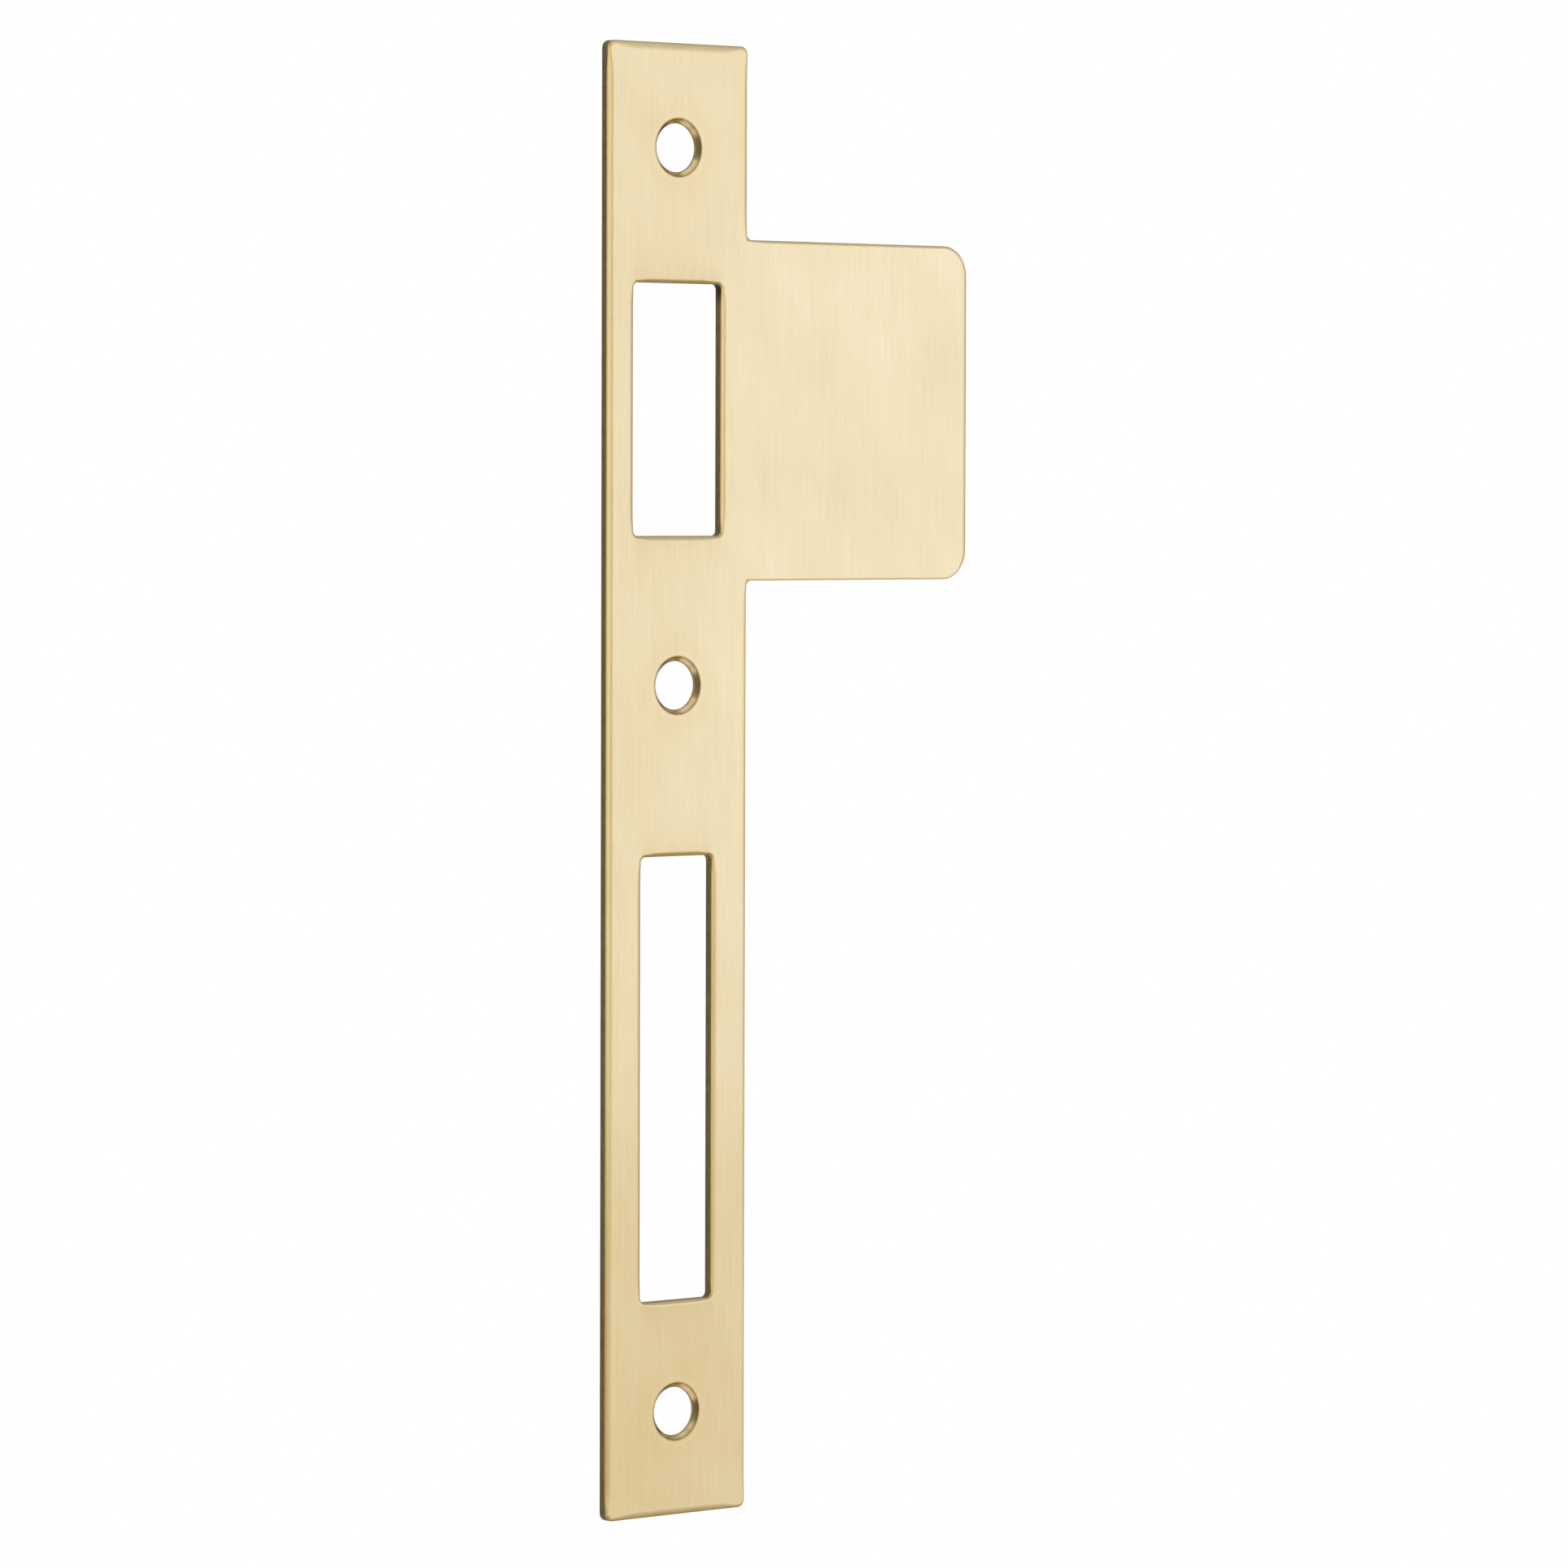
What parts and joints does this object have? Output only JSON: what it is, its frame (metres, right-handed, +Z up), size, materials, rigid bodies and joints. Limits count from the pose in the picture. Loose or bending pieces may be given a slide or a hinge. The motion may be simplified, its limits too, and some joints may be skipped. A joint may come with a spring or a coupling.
{
  "type": "extended strike plate",
  "caption": "Flat brushed brass strike plate with an extended lip, a latch opening, a deadbolt opening and countersunk screw holes, screwed to a door jamb.",
  "frame": {"origin": "on the back face, on the strip's centre line, half way up the strip and half way between the outer screw holes", "axes": "+X across the strip towards the lip, +Y out of the back face into the jamb, +Z up along the strip"},
  "size_m": [0.0634, 0.0015, 0.2],
  "materials": {
    "satin_brass": "fine lengthwise brushed, satin, clear lacquered"
  },
  "bodies": {
    "root": {"strike_plate": "satin_brass"}
  },
  "joints": []
}
